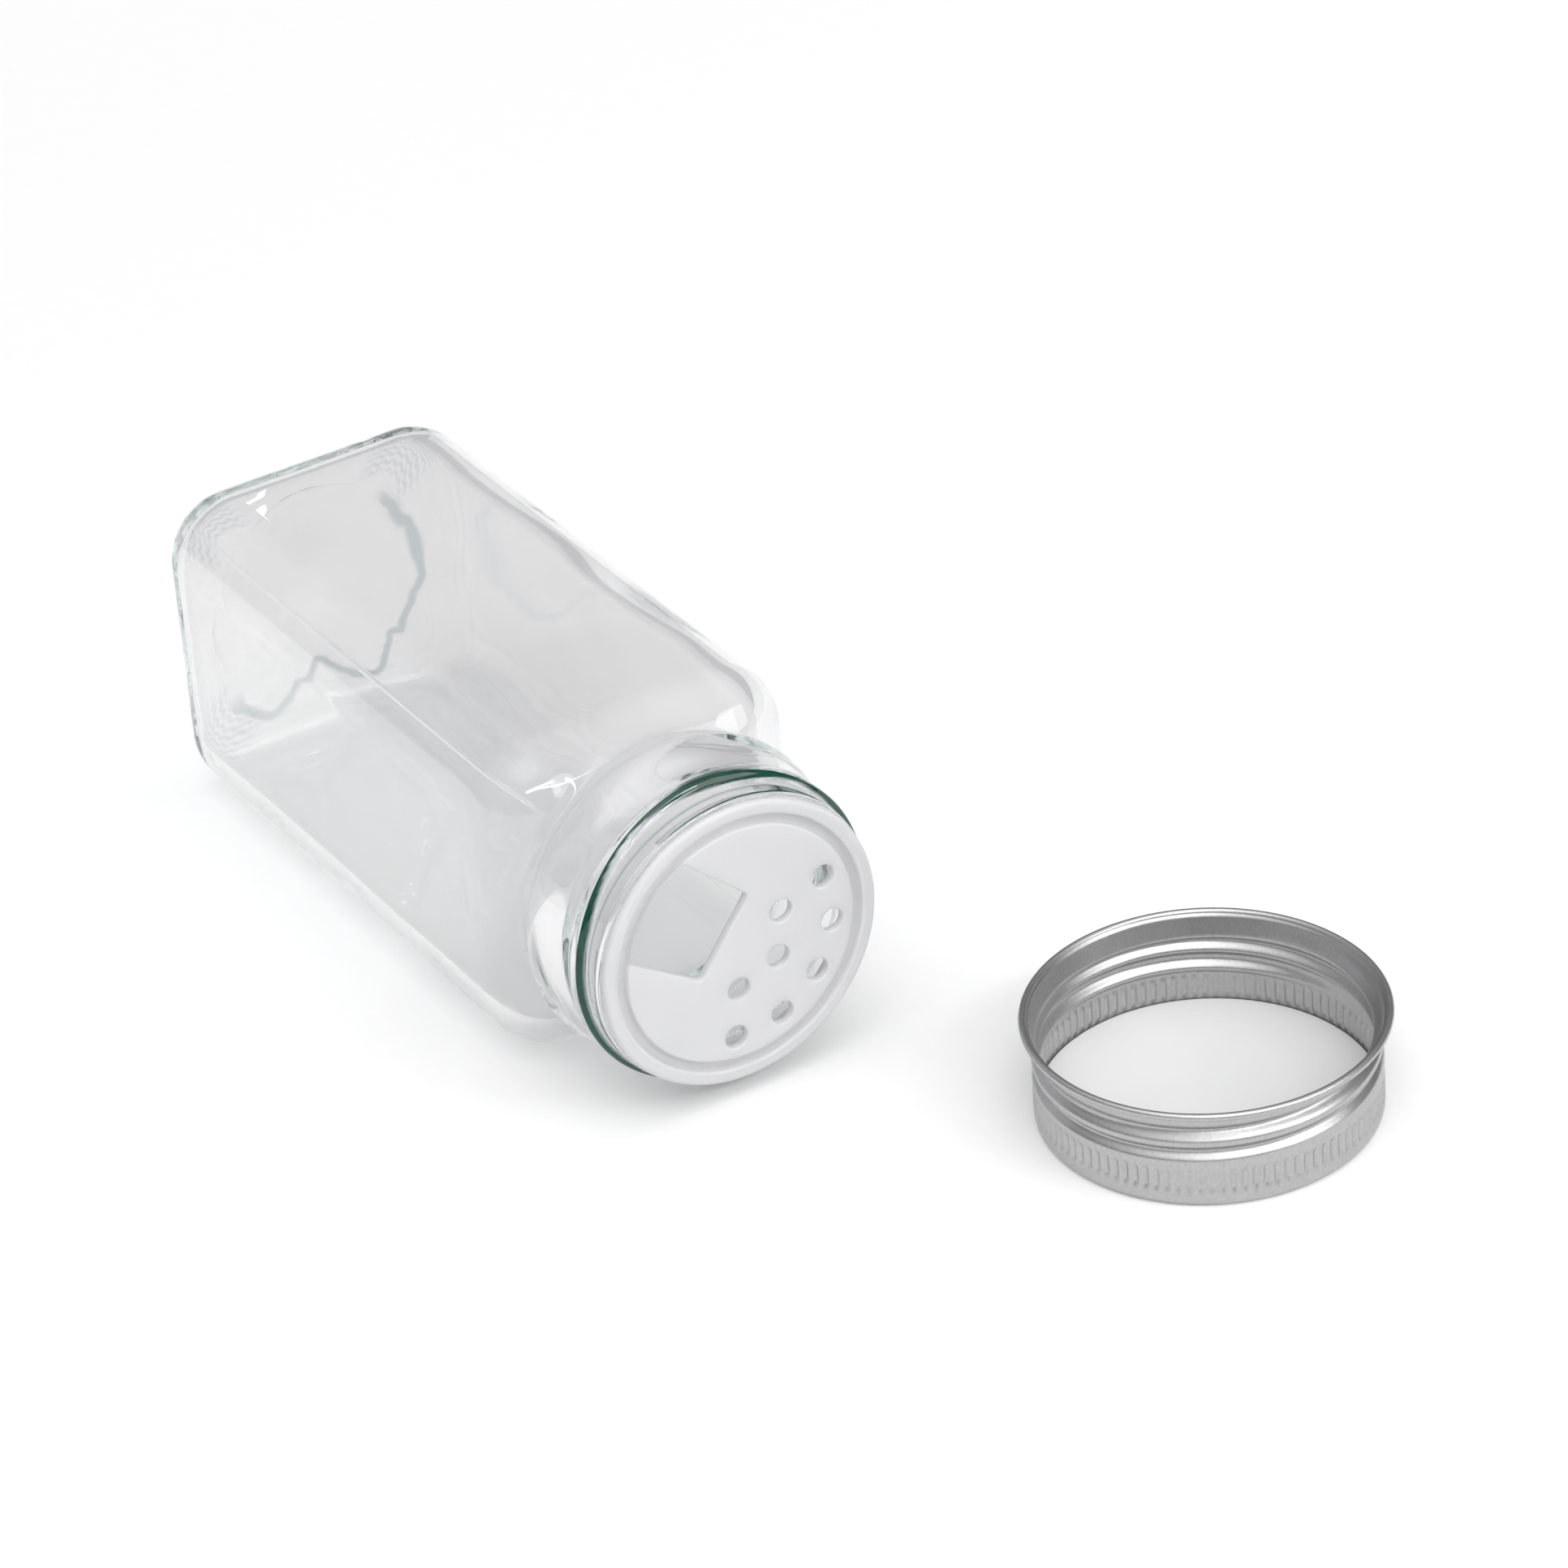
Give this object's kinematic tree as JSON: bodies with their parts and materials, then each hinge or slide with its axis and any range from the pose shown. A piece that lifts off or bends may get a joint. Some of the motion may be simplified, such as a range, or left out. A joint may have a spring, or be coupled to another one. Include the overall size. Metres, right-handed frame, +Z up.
{
  "type": "spice jar",
  "caption": "Square clear glass jar on its side with a sifter and pour insert in its neck, and its knurled metal screw cap and liner beside it.",
  "frame": {"origin": "centre of the glass jar's flat side panel on which it lies", "axes": "+X along the jar's axis towards its mouth, +Z up, away from the surface it lies on"},
  "size_m": [0.1707, 0.0891, 0.0445],
  "materials": {
    "clear_glass": "clear, glossy",
    "milky_plastic": "translucent, satin",
    "satin_aluminium": "satin",
    "white_liner": "smooth, matt"
  },
  "bodies": {
    "jar": {"glass_jar": "clear_glass"},
    "insert": {"shaker_insert": "milky_plastic"},
    "liner": {"cap_liner": "white_liner"},
    "cap": {"screw_cap": "satin_aluminium"}
  },
  "joints": [
    {"name": "insert_pull", "type": "slide", "parent": "jar", "child": "insert", "axis": [1, 0, 0], "range_m": [0, 0.012]},
    {"name": "cap_lift", "type": "slide", "parent": "jar", "child": "liner", "axis": [0, 0, 1], "range_m": [0, 0.04]},
    {"name": "cap_turn", "type": "hinge", "parent": "liner", "child": "cap", "pos_m": [0.1021, 0.0436, 0], "axis": [0, 0, 1], "range_deg": [0, 720]}
  ]
}
